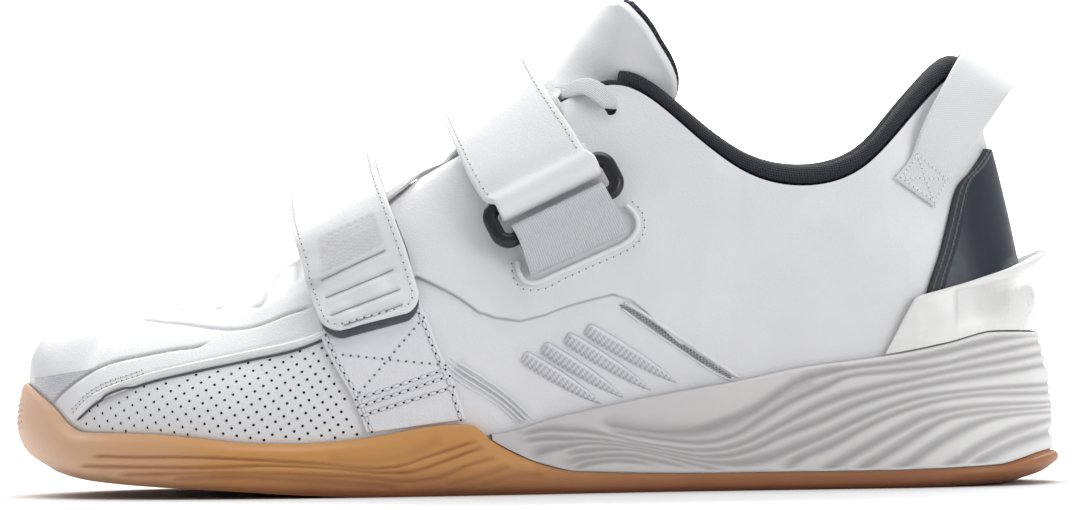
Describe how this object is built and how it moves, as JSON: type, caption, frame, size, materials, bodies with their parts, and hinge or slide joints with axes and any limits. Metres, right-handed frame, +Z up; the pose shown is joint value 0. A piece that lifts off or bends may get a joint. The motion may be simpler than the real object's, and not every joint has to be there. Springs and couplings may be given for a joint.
{
  "type": "weightlifting shoe",
  "caption": "Low-cut weightlifting shoe for the left foot with a raised heel wedge, flat gum outsole, two instep straps, laces, a padded collar and a heel pull loop.",
  "frame": {"origin": "centre of the bounding box on the ground under the sole", "axes": "+X from toe to heel, +Y from the lateral to the medial side, +Z up"},
  "size_m": [0.2999, 0.1107, 0.1396],
  "materials": {
    "gum": "gum rubber, satin",
    "midsole": "moulded white foam, satin",
    "sockliner": "dark knit",
    "upper": "white synthetic leather, satin",
    "tongue": "white synthetic leather",
    "knit": "dark knit mesh",
    "strap": "white synthetic leather, stitched edges",
    "ring": "black, half gloss",
    "webbing": "light grey ribbed elastic",
    "tape": "white woven tape",
    "counter": "dark, smooth, half gloss",
    "clip": "white moulded plastic, slightly translucent",
    "rib": "raised white knit"
  },
  "bodies": {
    "root": {"collar_lining": "knit", "heel_clip": "clip", "heel_counter": "counter", "insole": "sockliner", "laces": "tape", "midsole": "midsole", "outsole": "gum", "pull_loop": "tape", "ring_webbing": "webbing", "side_rib_lateral_1": "rib", "side_rib_lateral_2": "rib", "side_rib_lateral_3": "rib", "side_rib_lateral_4": "rib", "side_rib_medial_1": "rib", "side_rib_medial_2": "rib", "side_rib_medial_3": "rib", "side_rib_medial_4": "rib", "strap_base": "upper", "strap_lower": "strap", "strap_ring": "ring", "strap_upper": "strap", "tongue": "tongue", "tongue_lining": "knit", "upper": "upper", "webbing_rim": "upper"}
  },
  "joints": []
}
